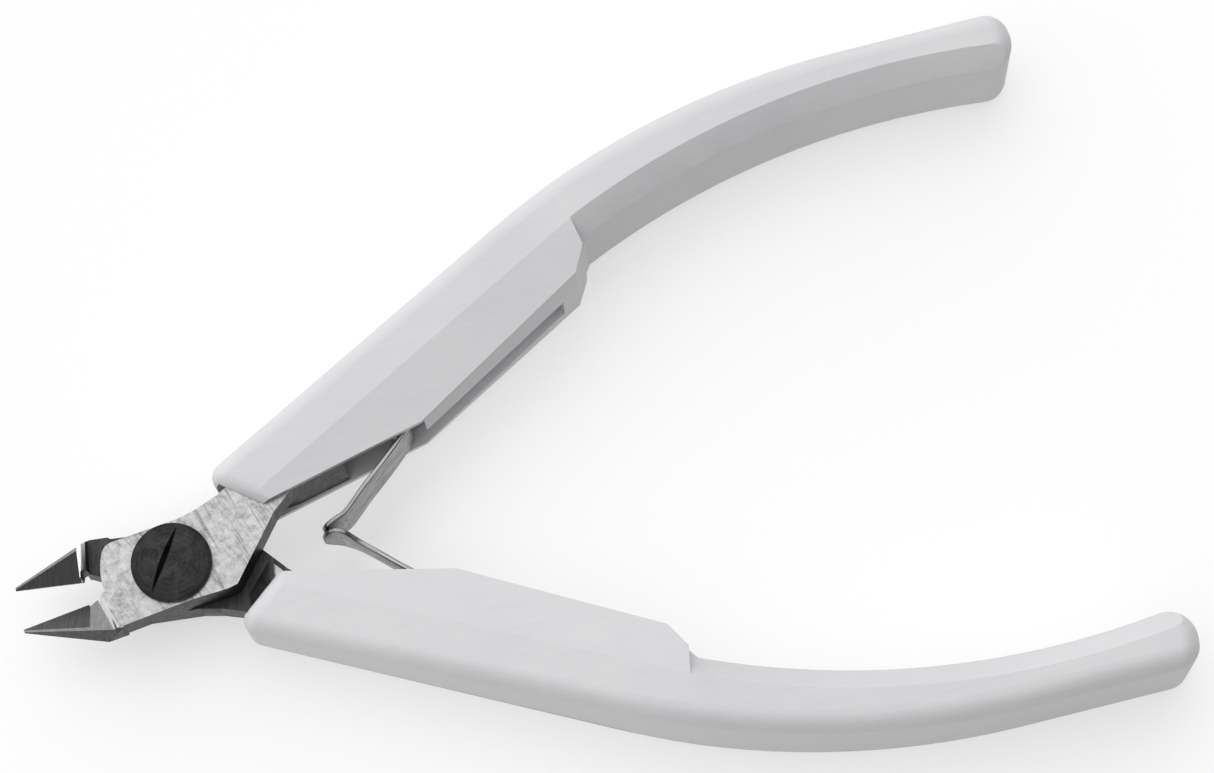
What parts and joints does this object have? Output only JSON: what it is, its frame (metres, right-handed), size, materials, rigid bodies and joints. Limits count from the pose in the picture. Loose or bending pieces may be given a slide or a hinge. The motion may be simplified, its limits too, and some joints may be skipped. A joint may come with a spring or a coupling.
{
  "type": "diagonal cutting pliers",
  "caption": "Small diagonal cutters with tapered jaws, a lap joint on a slotted pivot screw, moulded plastic handles and crossed leaf return springs.",
  "frame": {"origin": "on the pivot axis, in the flat back face of the head", "axes": "+X from the pivot to the handles, halfway between them; +Y towards the upper handle; +Z from the back face to the front face, along the pivot"},
  "size_m": [0.1163, 0.074, 0.0127],
  "materials": {
    "tool_steel": "ground and satin-polished tool steel",
    "black_oxide": "black oxide",
    "grip_plastic": "matte light grey moulded",
    "spring_steel": "rolled spring steel"
  },
  "bodies": {
    "back_half": {"back_lever": "tool_steel", "lower_grip": "grip_plastic", "lower_spring_pin": "spring_steel", "pivot_screw": "black_oxide", "pivot_nut": "black_oxide"},
    "front_half": {"front_lever": "tool_steel", "upper_grip": "grip_plastic", "upper_spring_pin": "spring_steel"},
    "upper_leaf": {"upper_leaf_spring": "spring_steel"},
    "lower_leaf": {"lower_leaf_spring": "spring_steel"}
  },
  "joints": [
    {"name": "jaw_pivot", "type": "hinge", "parent": "back_half", "child": "front_half", "pos_m": [0, 0, 0.0033], "axis": [0, 0, -1], "range_deg": [0, 14.47], "stiffness_Nm_per_rad": 2},
    {"name": "upper_leaf_eye", "type": "hinge", "parent": "front_half", "child": "upper_leaf", "pos_m": [0.02599, 0.00884, 0.0033], "axis": [0, 0, -1], "range_deg": [0, 10.79]},
    {"name": "lower_leaf_eye", "type": "hinge", "parent": "back_half", "child": "lower_leaf", "pos_m": [0.02599, -0.00884, 0.0033], "axis": [0, 0, 1], "range_deg": [0, 10.79]}
  ],
  "couplings": [
    {"joint": "upper_leaf_eye", "follows": "jaw_pivot", "ratio": 0.7443},
    {"joint": "lower_leaf_eye", "follows": "jaw_pivot", "ratio": 0.7443}
  ]
}
